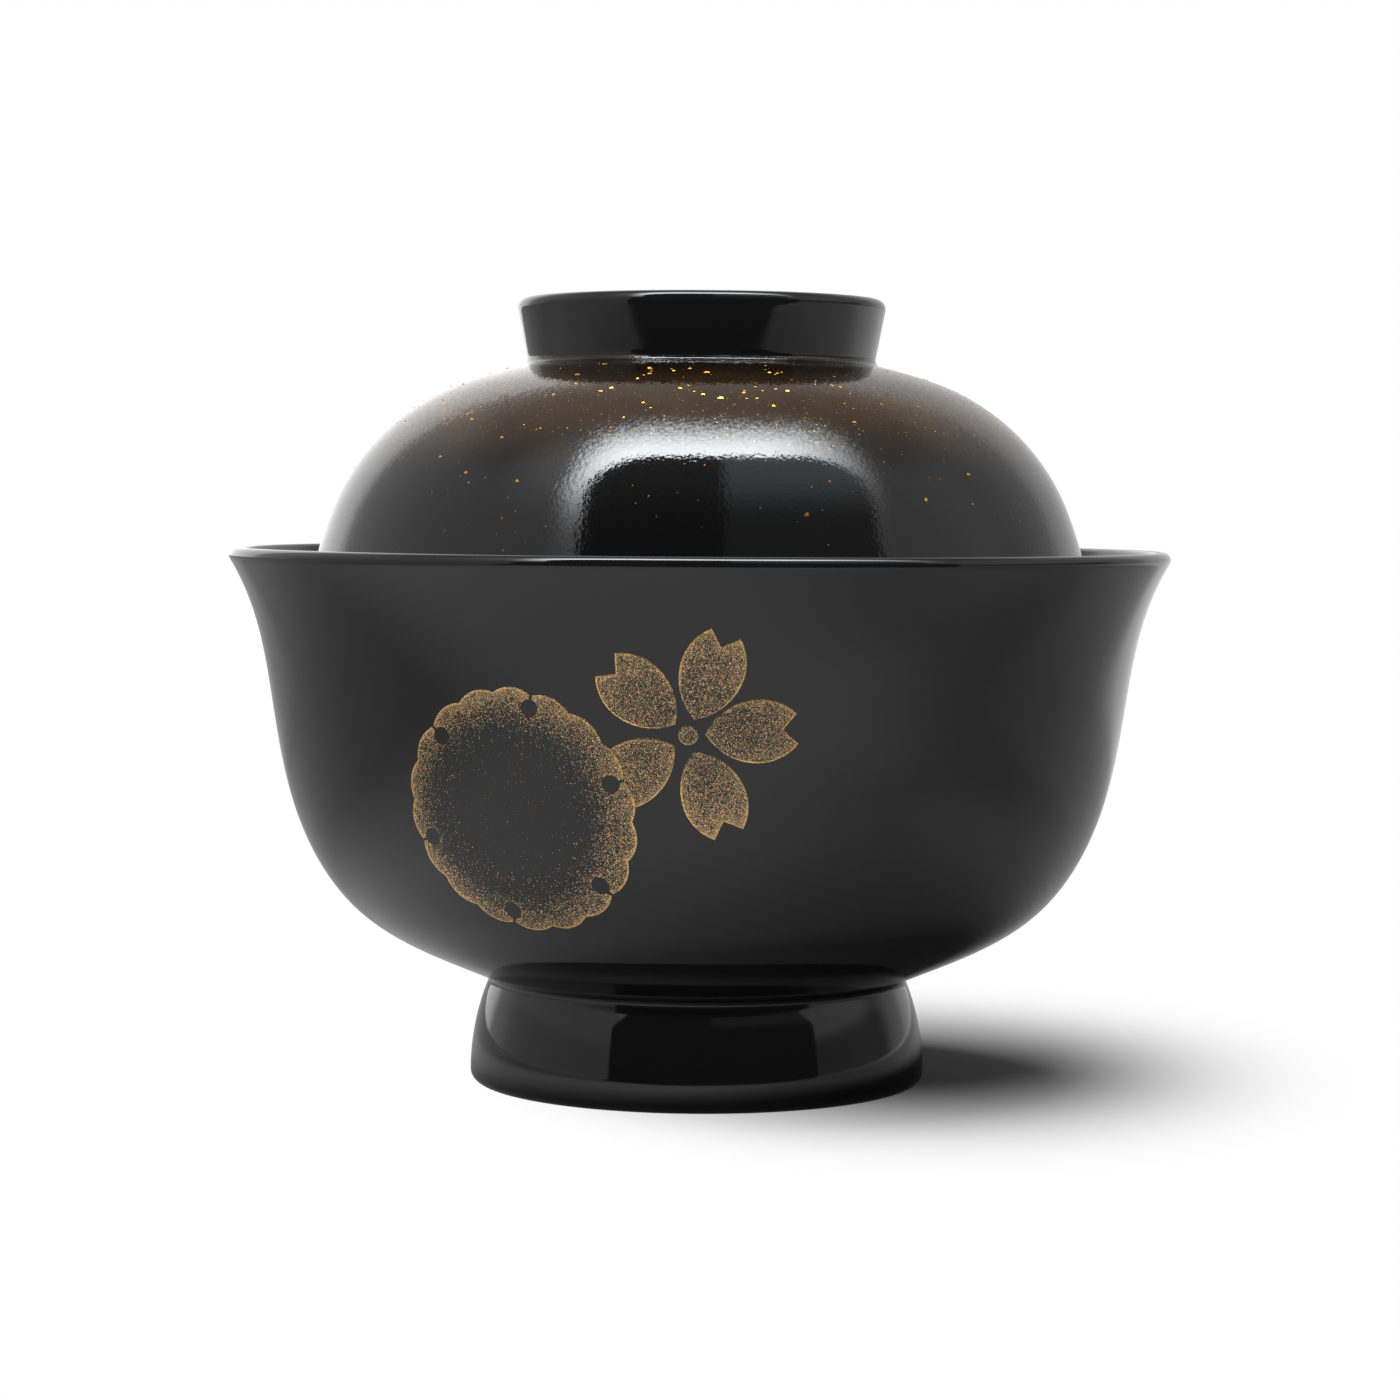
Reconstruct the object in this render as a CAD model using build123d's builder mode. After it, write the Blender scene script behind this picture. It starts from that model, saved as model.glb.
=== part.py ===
"""Lacquered soup bowl with its lid: turned wood cores, lacquer coats and sprinkled gold figures.

Millimetres, +Z up, origin at the centre of the standing ring. The gold figures face -Y.
Every half profile runs with the wood on its left: up the outside, over the lip and down the inside.
"""

import os
from math import atan2, cos, degrees, radians, sin

from build123d import *

os.makedirs("parts", exist_ok=True)

# Lacquer and gold
coat = 0.4
gold_rise = 0.1
gold_clearance = 0.05  # hair's breadth between the lacquer and the gold on it
curve_steps = 20  # points through which the parallel of a free curve is drawn, less one

# Bowl: outside of the wall; insets are from the rim's edge, drops from its crest, rises from the foot's neck
rim_radius = 60.0
rim_height = 68.4
rim_lean = 31.0  # degrees that the lip leans out from upright
lip_thickness = 2.0
flare_inset = 3.4
flare_drop = 9.1
waist_inset = 5.4
waist_drop = 19.1
belly_inset = 8.8
belly_rise = 21.3
hip_inset = 16.2
hip_rise = 9.7
underside_rise = 24.0  # degrees of the underside's slope beside the foot

# Bowl: foot ring
foot_radius = 29.2
foot_ring_width = 4.2
neck_inset = 2.2
neck_height = 12.7
neck_round = 0.8
heel_round = 1.4
recess_depth = 9.0
recess_round = 2.0

# Bowl: inside
wall_thickness = 2.8
floor_thickness = 4.8

# Lid: its lip hangs on the bowl's inner wall
seat_depth = 11.5
seat_gap = 0.2
lid_lip_thickness = 2.2
lid_lean = 28.0  # degrees that the lid's lip leans out from upright

# Lid: outside of the dome; insets are from the middle of its lip, drops from the knob's base
dome_rise = 34.8  # from the seat to the knob's base
lid_neck_inset = 3.2
lid_neck_drop = 22.8
lid_side_inset = 5.3
lid_side_drop = 17.0
lid_shoulder_inset = 10.4
lid_shoulder_drop = 9.4
lid_crown_inset = 19.0
lid_crown_drop = 3.15
crown_slope = 14.0  # degrees of the dome's slope beside the knob

# Lid: knob ring
knob_radius = 23.0
knob_round = 0.9
knob_flare = 11.0  # degrees that the knob's side leans out from upright
knob_side_height = 6.1
knob_wall = 2.4
knob_recess_side = 4.6
knob_recess_round = 1.8

# Lid: inside
lid_wall = 2.6
lid_ceiling_thickness = 3.4

# Snow ring: a scalloped disc with keyhole notches and a bare middle
snow_turn = -23.8  # degrees round the bowl from its front
snow_height = 38.6
snow_radius = 14.6
snow_lobes = 6
scallops_per_lobe = 3
scallop_radius = 4.1
snow_spin = -13.2  # degrees
notch_inset = 2.1  # of the notches' round ends, from the ring's edge
notch_radius = 1.05
notch_slit = 0.4
powder_band = 6.8

# Cherry blossom
blossom_turn = -1.25  # degrees round the bowl from its front
blossom_height = 48.0
blossom_radius = 12.45
petal_turns = (20.0, 86.5, 158.0, 235.0, 310.0)  # degrees clockwise from upright, drawn by hand
petal_base = 1.95  # distance of the petal's inner point from the blossom's centre
petal_half_width = 3.7
petal_widest = 8.1  # distance of the widest place from the blossom's centre
petal_tip_half = 1.75
petal_notch_depth = 1.65
blossom_eye_radius = 1.15
overlap_gap = 0.3  # black line between the snow ring and the petal behind it


def beside(edge, share, depth):
    """Point at a share of an edge, moved to its left by a depth: into the wood."""
    run = edge % share
    return edge @ share + Vector(-run.Y, run.X) * depth


def fair_curve(points, first_run, last_run):
    """Draw a smooth curve through points, with its directions at both ends."""
    return Spline(*points, tangents=(first_run, last_run), tangent_scalars=(1, 1))


def parallel(edge, depth):
    """Draw an edge again at a depth into the wood."""
    if edge.geom_type == GeomType.LINE:
        return Line(beside(edge, 0, depth), beside(edge, 1, depth))
    if edge.geom_type == GeomType.CIRCLE:
        return ThreePointArc(*(beside(edge, share, depth) for share in (0, 0.5, 1)))
    shares = [step / curve_steps for step in range(curve_steps + 1)]
    return fair_curve([beside(edge, share, depth) for share in shares], edge % 0, edge % 1)


def skin_face(edges, depth):
    """Face between a run of edges and its parallel at a depth."""
    with BuildLine() as outline:
        add(edges)
        twins = [parallel(edge, depth) for edge in edges]
        Line(edges[0] @ 0, twins[0] @ 0)
        Line(edges[-1] @ 1, twins[-1] @ 1)
    return make_face(outline.edges())


def stations_beside(edge, stations, depth):
    """Points of an edge moved into the wood by a depth."""
    return [beside(edge, edge.param_at_point(station), depth) for station in stations]


def figure_plane(turn, height):
    """Upright plane through the bowl's axis whose normal points out at a turn from the front."""
    angle = radians(turn)
    return Plane(origin=(0, 0, height), x_dir=(cos(angle), sin(angle), 0), z_dir=(sin(angle), -cos(angle), 0))


# Bowl profiles
hip = Vector(rim_radius - hip_inset, neck_height + hip_rise)
belly = Vector(rim_radius - belly_inset, neck_height + belly_rise)
waist = Vector(rim_radius - waist_inset, rim_height - waist_drop)
flare = Vector(rim_radius - flare_inset, rim_height - flare_drop)
foot_neck = Vector(foot_radius - neck_inset, neck_height)
lip_run = Vector(sin(radians(rim_lean)), cos(radians(rim_lean)))
lip_centre = Vector(rim_radius - lip_thickness / 2, rim_height - lip_thickness / 2)
lip_shoulder = lip_centre + Vector(lip_run.Y, -lip_run.X) * (lip_thickness / 2)

with BuildLine() as bowl_outside:
    heel = JernArc((foot_radius - heel_round, 0), (1, 0), heel_round, 90)
    foot_side = TangentArc(heel @ 1, foot_neck, tangent=heel % 1)
    foot_lean = degrees(atan2((foot_side % 1).Y, (foot_side % 1).X))
    neck = JernArc(foot_side @ 1, foot_side % 1, neck_round, underside_rise - foot_lean)
    bowl_wall = fair_curve([neck @ 1, hip, belly, waist, flare, lip_shoulder], neck % 1, lip_run)
    outer_lip = JernArc(bowl_wall @ 1, bowl_wall % 1, lip_thickness / 2, 90)

floor_height = recess_depth + floor_thickness
with BuildLine() as bowl_inside:
    inner_lip = JernArc(outer_lip @ 1, outer_lip % 1, lip_thickness / 2, 90)
    hollow_points = stations_beside(bowl_wall, (flare, waist, belly, hip, neck @ 1), wall_thickness)
    hollow = fair_curve([inner_lip @ 1, *hollow_points, (0, floor_height)], inner_lip % 1, (-1, 0))

recess_radius = foot_radius - foot_ring_width
with BuildLine() as foot_recess:
    recess_ceiling = Line((0, recess_depth), (recess_radius - recess_round, recess_depth))
    recess_corner = JernArc(recess_ceiling @ 1, (1, 0), recess_round, -90)
    recess_side = Line(recess_corner @ 1, (recess_radius, heel_round))
    inner_heel = JernArc(recess_side @ 1, (0, -1), heel_round, 90)

# Lid profiles
seat_height = rim_height - seat_depth
seat = hollow.find_intersection_points(Axis((0, seat_height), (1, 0)))[0]
lid_lip_centre = stations_beside(hollow, [seat], -(lid_lip_thickness / 2 + seat_gap))[0]
lid_run = Vector(-sin(radians(lid_lean)), cos(radians(lid_lean)))
lid_lip_crest = lid_lip_centre - lid_run * (lid_lip_thickness / 2)
knob_base = Vector(knob_radius, seat_height + dome_rise)
lid_neck = Vector(lid_lip_centre.X - lid_neck_inset, knob_base.Y - lid_neck_drop)
lid_side = Vector(lid_lip_centre.X - lid_side_inset, knob_base.Y - lid_side_drop)
lid_shoulder = Vector(lid_lip_centre.X - lid_shoulder_inset, knob_base.Y - lid_shoulder_drop)
lid_crown = Vector(lid_lip_centre.X - lid_crown_inset, knob_base.Y - lid_crown_drop)
crown_run = Vector(-cos(radians(crown_slope)), sin(radians(crown_slope)))

with BuildLine() as lid_outside:
    lid_outer_lip = JernArc(lid_lip_crest, (lid_run.Y, -lid_run.X), lid_lip_thickness / 2, 90)
    dome_points = [lid_neck, lid_side, lid_shoulder, lid_crown]
    dome = fair_curve([lid_outer_lip @ 1, *dome_points, knob_base], lid_outer_lip % 1, crown_run)
    knob_fillet = JernArc(dome @ 1, dome % 1, knob_round, crown_slope - knob_flare - 90)
    knob_side = PolarLine(knob_fillet @ 1, knob_side_height, 90 - knob_flare, length_mode=LengthMode.VERTICAL)
    knob_outer_lip = JernArc(knob_side @ 1, knob_side % 1, knob_wall / 2, 90)

with BuildLine() as knob_recess:
    knob_inner_lip = JernArc(knob_outer_lip @ 1, knob_outer_lip % 1, knob_wall / 2, 90)
    knob_inside = Line(knob_inner_lip @ 1, knob_inner_lip @ 1 + (knob_inner_lip % 1) * knob_recess_side)
    knob_corner = JernArc(knob_inside @ 1, knob_inside % 1, knob_recess_round, knob_flare - 90)
    knob_floor = Line(knob_corner @ 1, (0, (knob_corner @ 1).Y))

lid_ceiling = (knob_floor @ 1).Y - lid_ceiling_thickness
lid_inner_shoulder = lid_lip_centre - Vector(lid_run.Y, -lid_run.X) * (lid_lip_thickness / 2)
with BuildLine() as lid_inside:
    lid_hollow_points = stations_beside(dome, reversed(dome_points), lid_wall)
    lid_hollow = fair_curve([(0, lid_ceiling), *lid_hollow_points, lid_inner_shoulder], (1, 0), -lid_run)
    lid_inner_lip = JernArc(lid_hollow @ 1, lid_hollow % 1, lid_lip_thickness / 2, 90)

# Wood cores: the land of the standing ring is bare of thick lacquer and carries the bowl
with BuildPart() as bowl_core:
    with BuildSketch(Plane.XZ):
        with BuildLine():
            outside = [parallel(edge, coat) for edge in bowl_outside.edges()]
            inside = [parallel(edge, coat) for edge in bowl_inside.edges()]
            recess = [parallel(edge, coat) for edge in foot_recess.edges()]
            Line(inside[-1] @ 1, recess[0] @ 0)
            Polyline(recess[-1] @ 1, inner_heel @ 1, heel @ 0, outside[0] @ 0)
        make_face()
    revolve(axis=Axis.Z)
bowl_core.part.label = "bowl_core"
export_step(bowl_core.part, "parts/bowl_core.step")

with BuildPart() as lid_core:
    with BuildSketch(Plane.XZ):
        with BuildLine():
            outside = [parallel(edge, coat) for edge in lid_outside.edges()]
            recess = [parallel(edge, coat) for edge in knob_recess.edges()]
            inside = [parallel(edge, coat) for edge in lid_inside.edges()]
            Line(recess[-1] @ 1, inside[0] @ 0)
        make_face()
    revolve(axis=Axis.Z)
lid_core.part.label = "lid_core"
export_step(lid_core.part, "parts/lid_core.step")

# Lacquer coats
with BuildPart() as bowl_outer_coat:
    with BuildSketch(Plane.XZ):
        skin_face(bowl_outside.edges(), coat)
    revolve(axis=Axis.Z)
bowl_outer_coat.part.label = "bowl_outer_coat"
export_step(bowl_outer_coat.part, "parts/bowl_outer_coat.step")

with BuildPart() as bowl_inner_coat:
    with BuildSketch(Plane.XZ):
        skin_face(bowl_inside.edges(), coat)
    revolve(axis=Axis.Z)
bowl_inner_coat.part.label = "bowl_inner_coat"
export_step(bowl_inner_coat.part, "parts/bowl_inner_coat.step")

with BuildPart() as foot_recess_coat:
    with BuildSketch(Plane.XZ):
        skin_face(foot_recess.edges(), coat)
    revolve(axis=Axis.Z)
foot_recess_coat.part.label = "foot_recess_coat"
export_step(foot_recess_coat.part, "parts/foot_recess_coat.step")

with BuildPart() as lid_outer_coat:
    with BuildSketch(Plane.XZ):
        skin_face(lid_outside.edges(), coat)
    revolve(axis=Axis.Z)
lid_outer_coat.part.label = "lid_outer_coat"
export_step(lid_outer_coat.part, "parts/lid_outer_coat.step")

with BuildPart() as knob_recess_coat:
    with BuildSketch(Plane.XZ):
        skin_face(knob_recess.edges(), coat)
    revolve(axis=Axis.Z)
knob_recess_coat.part.label = "knob_recess_coat"
export_step(knob_recess_coat.part, "parts/knob_recess_coat.step")

with BuildPart() as lid_inner_coat:
    with BuildSketch(Plane.XZ):
        skin_face(lid_inside.edges(), coat)
    revolve(axis=Axis.Z)
lid_inner_coat.part.label = "lid_inner_coat"
export_step(lid_inner_coat.part, "parts/lid_inner_coat.step")

# Gold figures: flat drawings carried straight out to the wall, as thick as the layer of gold on it
gold_bed = parallel(bowl_wall, -gold_clearance)
with BuildPart() as gold_layer:
    with BuildSketch(Plane.XZ):
        skin_face([gold_bed], -gold_rise)
    revolve(axis=Axis.Z)

with BuildSketch() as snow_outline:
    Circle(snow_radius - scallop_radius / 2)
    with PolarLocations(snow_radius - scallop_radius, snow_lobes * scallops_per_lobe):
        Circle(scallop_radius)

lobe_angle = 360 / snow_lobes
notch_start = lobe_angle / scallops_per_lobe / 2
with BuildSketch() as snow_figure:
    add(snow_outline.sketch)
    with PolarLocations(snow_radius - notch_inset, snow_lobes, start_angle=notch_start):
        Circle(notch_radius, mode=Mode.SUBTRACT)
        Rectangle(snow_radius, notch_slit, align=(Align.MIN, Align.CENTER), mode=Mode.SUBTRACT)
    Circle(snow_radius - powder_band, mode=Mode.SUBTRACT)

snow_plane = figure_plane(snow_turn, snow_height)
with BuildPart() as snow_ring_gold:
    with BuildSketch(snow_plane):
        add(snow_figure.sketch, rotation=90 - notch_start + snow_spin)
    extrude(amount=rim_radius)
    add(gold_layer.part, mode=Mode.INTERSECT)
snow_ring_gold.part.label = "snow_ring_gold"
export_step(snow_ring_gold.part, "parts/snow_ring_gold.step")

with BuildSketch() as petal:
    with BuildLine():
        widest = Vector(petal_half_width, petal_widest)
        TangentArc(widest, (0, petal_base), tangent=(0, -1))
        outer_side = TangentArc(widest, (petal_tip_half, blossom_radius), tangent=(0, 1))
        Line(outer_side @ 1, (0, blossom_radius - petal_notch_depth))
        mirror(about=Plane.YZ)
    make_face()

with BuildPart() as cherry_blossom_gold:
    with BuildSketch(figure_plane(blossom_turn, blossom_height)):
        for petal_turn in petal_turns:
            add(petal.sketch, rotation=-petal_turn)
        Circle(blossom_eye_radius)
    extrude(amount=rim_radius)
    with BuildSketch(snow_plane):
        add(snow_outline.sketch, rotation=90 - notch_start + snow_spin)
        offset(amount=overlap_gap, kind=Kind.INTERSECTION)
    extrude(amount=rim_radius, mode=Mode.SUBTRACT)
    add(gold_layer.part, mode=Mode.INTERSECT)
cherry_blossom_gold.part.label = "cherry_blossom_gold"
export_step(cherry_blossom_gold.part, "parts/cherry_blossom_gold.step")
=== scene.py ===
import math
import random

import bpy
import numpy as np
from mathutils import Matrix, Vector


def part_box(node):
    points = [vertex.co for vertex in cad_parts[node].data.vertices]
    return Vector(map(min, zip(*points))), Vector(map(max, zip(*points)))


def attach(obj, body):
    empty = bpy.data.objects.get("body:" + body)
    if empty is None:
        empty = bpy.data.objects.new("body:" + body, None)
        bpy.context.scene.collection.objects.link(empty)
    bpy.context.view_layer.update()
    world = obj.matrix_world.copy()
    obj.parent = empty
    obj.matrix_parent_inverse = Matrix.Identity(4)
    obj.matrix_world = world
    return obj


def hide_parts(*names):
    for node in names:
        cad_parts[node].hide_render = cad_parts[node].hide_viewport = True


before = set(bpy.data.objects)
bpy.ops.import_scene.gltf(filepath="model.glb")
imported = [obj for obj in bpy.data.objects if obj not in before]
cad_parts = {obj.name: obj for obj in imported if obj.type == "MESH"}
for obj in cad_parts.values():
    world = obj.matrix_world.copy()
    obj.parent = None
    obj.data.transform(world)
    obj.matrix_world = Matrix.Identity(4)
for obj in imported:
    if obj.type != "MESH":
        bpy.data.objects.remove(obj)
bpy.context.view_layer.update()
bpy.ops.object.select_all(action="DESELECT")
print("frame loaded:", len(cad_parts), "nodes")

mm = 0.001  # the settings below are in millimetres and degrees

turning = {
    "roundSteps": 240,
    "profileSteps": 14,
    "wallSteps": 60,
    "coat": 0.4,
    "weld": 0.002,
    "sharpAngle": 38.0,
}


# Profiles: knots of (handle before, place, handle after), with the wood on the left of the run
def heading(angle):
    return np.array((math.cos(math.radians(angle)), math.sin(math.radians(angle))))


def leftOf(run):
    return np.array((-run[1], run[0])) / np.linalg.norm(run)


def beginAt(radius, height):
    place = np.array((radius, height), float)
    return [[place, place, place]]


def lineTo(profile, end):
    start, end = profile[-1][1], np.array(end, float)
    profile[-1][2] = start + (end - start) / 3
    profile.append([end - (end - start) / 3, end, end])
    return (end - start) / np.linalg.norm(end - start)


def arcBy(profile, run, radius, turn):
    start, angle = profile[-1][1], math.radians(turn)
    spin = np.array(((math.cos(angle), -math.sin(angle)), (math.sin(angle), math.cos(angle))))
    centre = start + leftOf(run) * math.copysign(radius, turn)
    end, endRun = centre + spin @ (start - centre), spin @ run
    reach = 4 / 3 * math.tan(abs(angle) / 4) * radius
    profile[-1][2] = start + run * reach
    profile.append([end - endRun * reach, end, end])
    return endRun


def arcTo(profile, run, end):
    chord = np.array(end, float) - profile[-1][1]
    half = math.atan2(run[0] * chord[1] - run[1] * chord[0], run @ chord)
    radius = np.linalg.norm(chord) / (2 * math.sin(abs(half)))
    return arcBy(profile, run, radius, 2 * math.degrees(half))


def fairTo(profile, stations, firstRun, lastRun):
    places = np.array([profile[-1][1], *stations])
    spans = np.linalg.norm(np.diff(places, axis=0), axis=1)
    system, wanted = np.eye(len(places)), np.zeros((len(places), 2))
    wanted[0], wanted[-1] = firstRun, lastRun
    for i in range(1, len(places) - 1):
        before, after = spans[i - 1], spans[i]
        system[i, i - 1:i + 2] = after, 2 * (before + after), before
        slopes = (places[i] - places[i - 1]) / before, (places[i + 1] - places[i]) / after
        wanted[i] = 3 * (after * slopes[0] + before * slopes[1])
    runs = np.linalg.solve(system, wanted)
    for i, span in enumerate(spans):
        profile[-1][2] = places[i] + runs[i] * span / 3
        profile.append([places[i + 1] - runs[i + 1] * span / 3, places[i + 1], places[i + 1]])
    return runs


def pointsAlong(profile, steps):
    rows = []
    for (_, start, pullOut), (pullIn, end, _) in zip(profile, profile[1:]):
        t = np.linspace(0, 1, steps, endpoint=False)[:, None]
        u = 1 - t
        rows.append(u ** 3 * start + 3 * t * u ** 2 * pullOut + 3 * t * t * u * pullIn + t ** 3 * end)
    return np.vstack([*rows, profile[-1][1]])


bowlShape = {
    "rimLean": 31.0, "lipThickness": 2.0,
    "flareInset": 3.4, "flareDrop": 9.1,
    "waistInset": 5.4, "waistDrop": 19.1,
    "bellyInset": 8.8, "bellyRise": 21.3,
    "hipInset": 16.2, "hipRise": 9.7, "undersideRise": 24.0,
    "footRadius": 29.2, "footRingWidth": 4.2, "neckInset": 2.2, "neckHeight": 12.7,
    "neckRound": 0.8, "heelRound": 1.4, "recessDepth": 9.0, "recessRound": 2.0,
    "wallThickness": 2.8, "floorThickness": 4.8,
}


def bowlProfiles(s):
    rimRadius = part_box("bowl_outer_coat")[1].x / mm
    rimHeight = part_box("bowl_inner_coat")[1].z / mm
    lipRadius = s["lipThickness"] / 2
    lipRun = heading(90 - s["rimLean"])
    lipShoulder = np.array((rimRadius - lipRadius, rimHeight - lipRadius)) - leftOf(lipRun) * lipRadius
    hip = np.array((rimRadius - s["hipInset"], s["neckHeight"] + s["hipRise"]))
    belly = np.array((rimRadius - s["bellyInset"], s["neckHeight"] + s["bellyRise"]))
    waist = np.array((rimRadius - s["waistInset"], rimHeight - s["waistDrop"]))
    flare = np.array((rimRadius - s["flareInset"], rimHeight - s["flareDrop"]))

    outside = beginAt(s["footRadius"] - s["heelRound"], 0)
    run = arcBy(outside, heading(0), s["heelRound"], 90)
    run = arcTo(outside, run, (s["footRadius"] - s["neckInset"], s["neckHeight"]))
    lean = math.degrees(math.atan2(run[1], run[0]))
    run = arcBy(outside, run, s["neckRound"], s["undersideRise"] - lean)
    neckEnd = outside[-1][1]
    wallStart = len(outside) - 1
    runs = fairTo(outside, [hip, belly, waist, flare, lipShoulder], run, lipRun)
    wall = [list(knot) for knot in outside[wallStart:]]
    run = arcBy(outside, lipRun, lipRadius, 90)

    inside = beginAt(*outside[-1][1])
    run = arcBy(inside, run, lipRadius, 90)
    stations = [flare, waist, belly, hip, neckEnd]
    hollow = [place + leftOf(along) * s["wallThickness"] for place, along in zip(stations, runs[4::-1])]
    floor = (0, s["recessDepth"] + s["floorThickness"])
    fairTo(inside, [*hollow, floor], run, heading(180))

    recessRadius = s["footRadius"] - s["footRingWidth"]
    recess = beginAt(0, s["recessDepth"])
    run = lineTo(recess, (recessRadius - s["recessRound"], s["recessDepth"]))
    run = arcBy(recess, run, s["recessRound"], -90)
    run = lineTo(recess, (recessRadius, s["heelRound"]))
    arcBy(recess, run, s["heelRound"], 90)
    return outside, inside, recess, wall


lidShape = {
    "seatDepth": 11.5, "lipThickness": 2.2, "lipLean": 28.0, "domeRise": 34.8,
    "neckInset": 3.2, "neckDrop": 22.8,
    "sideInset": 5.3, "sideDrop": 17.0,
    "shoulderInset": 10.4, "shoulderDrop": 9.4,
    "crownInset": 19.0, "crownDrop": 3.15, "crownSlope": 14.0,
    "knobRadius": 23.0, "knobRound": 0.9, "knobFlare": 11.0, "knobSideHeight": 6.1, "knobWall": 2.4,
    "knobRecessSide": 4.6, "knobRecessRound": 1.8,
    "wall": 2.6, "ceilingThickness": 3.4,
}


def lidProfiles(s):
    lipRadius = s["lipThickness"] / 2
    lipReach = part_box("lid_outer_coat")[1].x / mm
    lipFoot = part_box("lid_inner_coat")[0].z / mm
    lipCentre = np.array((lipReach - lipRadius, lipFoot + lipRadius))
    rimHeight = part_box("bowl_inner_coat")[1].z / mm
    knobBase = np.array((s["knobRadius"], rimHeight - s["seatDepth"] + s["domeRise"]))
    lipRun = heading(90 + s["lipLean"])
    crownRun = heading(180 - s["crownSlope"])
    stations = [
        np.array((lipCentre[0] - s[place + "Inset"], knobBase[1] - s[place + "Drop"]))
        for place in ("neck", "side", "shoulder", "crown")
    ]

    outside = beginAt(*(lipCentre - lipRun * lipRadius))
    run = arcBy(outside, -leftOf(lipRun), lipRadius, 90)
    domeStart = len(outside) - 1
    runs = fairTo(outside, [*stations, knobBase], run, crownRun)
    dome = [list(knot) for knot in outside[domeStart:]]
    run = arcBy(outside, crownRun, s["knobRound"], s["crownSlope"] - s["knobFlare"] - 90)
    sideLength = s["knobSideHeight"] / math.cos(math.radians(s["knobFlare"]))
    lineTo(outside, outside[-1][1] + run * sideLength)
    run = arcBy(outside, run, s["knobWall"] / 2, 90)

    recess = beginAt(*outside[-1][1])
    run = arcBy(recess, run, s["knobWall"] / 2, 90)
    lineTo(recess, recess[-1][1] + run * s["knobRecessSide"])
    arcBy(recess, run, s["knobRecessRound"], s["knobFlare"] - 90)
    lineTo(recess, (0, recess[-1][1][1]))

    ceiling = (0, recess[-1][1][1] - s["ceilingThickness"])
    hollow = [place + leftOf(along) * s["wall"] for place, along in zip(stations[::-1], runs[4:0:-1])]
    inside = beginAt(*ceiling)
    fairTo(inside, [*hollow, lipCentre + leftOf(lipRun) * lipRadius], heading(0), -lipRun)
    arcBy(inside, -lipRun, lipRadius, 90)
    return outside, recess, inside, dome


def applyModifiers(piece):
    bpy.context.view_layer.objects.active = piece
    for name in [modifier.name for modifier in piece.modifiers]:
        bpy.ops.object.modifier_apply(modifier=name)


def thicken(piece, thickness):
    wall = piece.modifiers.new("thickness", "SOLIDIFY")
    wall.thickness = thickness * mm
    wall.offset = -1
    applyModifiers(piece)


def shadeSmooth(piece):
    bpy.context.view_layer.objects.active = piece
    piece.select_set(True)
    bpy.ops.object.shade_smooth_by_angle(angle=math.radians(turning["sharpAngle"]))


def finishPiece(piece, body, slot, material, *nodes):
    piece.data.materials.clear()
    piece.data.materials.append(material)
    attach(piece, body)
    if nodes:
        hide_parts(*nodes)
    piece.select_set(False)
    print(piece.name, len(piece.data.polygons), "faces")
    return piece


# The finish lies on the right of the run, so a face half way along tells which way the sheet must face
def facesWood(piece, profile):
    points = pointsAlong(profile, turning["profileSteps"])
    half = len(points) // 2
    centre = (points[half] + points[half + 1]) / 2 * mm
    outward = -leftOf(points[half + 1] - points[half])
    around = math.pi / turning["roundSteps"]
    ring = Vector((math.cos(around), math.sin(around), 0))
    place = ring * centre[0] + Vector((0, 0, centre[1]))
    face = min(piece.data.polygons, key=lambda polygon: (polygon.center - place).length_squared)
    return face.normal.dot(ring * outward[0] + Vector((0, 0, outward[1]))) < 0


# A turned coat: its profile as a curve, spun about the axis and thickened into the wood
def turnCoat(name, profile):
    bpy.ops.object.select_all(action="DESELECT")
    bpy.ops.curve.primitive_bezier_curve_add(location=(0, 0, 0))
    piece = bpy.context.object
    piece.name = name
    spline = piece.data.splines[0]
    spline.bezier_points.add(len(profile) - len(spline.bezier_points))
    spline.resolution_u = turning["profileSteps"]
    for knot, (before, place, after) in zip(spline.bezier_points, profile):
        knot.handle_left_type = knot.handle_right_type = "FREE"
        knot.co = (place[0] * mm, 0, place[1] * mm)
        knot.handle_left = (before[0] * mm, 0, before[1] * mm)
        knot.handle_right = (after[0] * mm, 0, after[1] * mm)
    bpy.ops.object.convert(target="MESH")
    piece = bpy.context.object
    bpy.ops.object.mode_set(mode="EDIT")
    bpy.ops.mesh.select_all(action="SELECT")
    bpy.ops.mesh.spin(steps=turning["roundSteps"], angle=2 * math.pi, center=(0, 0, 0), axis=(0, 0, 1))
    bpy.ops.mesh.select_all(action="SELECT")
    bpy.ops.mesh.remove_doubles(threshold=turning["weld"] * mm)
    bpy.ops.mesh.normals_make_consistent(inside=False)
    bpy.ops.object.mode_set(mode="OBJECT")
    if facesWood(piece, profile):
        piece.data.flip_normals()
    thicken(piece, turning["coat"])
    shadeSmooth(piece)
    return piece


# Nodes
def newMaterial(name):
    material = bpy.data.materials.new(name)
    material.use_nodes = True
    return material, material.node_tree, material.node_tree.nodes["Principled BSDF"]


def feed(tree, socket, value):
    if isinstance(value, bpy.types.NodeSocket):
        tree.links.new(value, socket)
    else:
        socket.default_value = value


def calc(tree, operation, first, second=0.0, clamp=False):
    node = tree.nodes.new("ShaderNodeMath")
    node.operation = operation
    node.use_clamp = clamp
    feed(tree, node.inputs[0], first)
    feed(tree, node.inputs[1], second)
    return node.outputs[0]


def hypotenuse(tree, first, second):
    squares = [calc(tree, "POWER", value, 2.0) for value in (first, second)]
    return calc(tree, "SQRT", calc(tree, "ADD", *squares))


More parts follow.
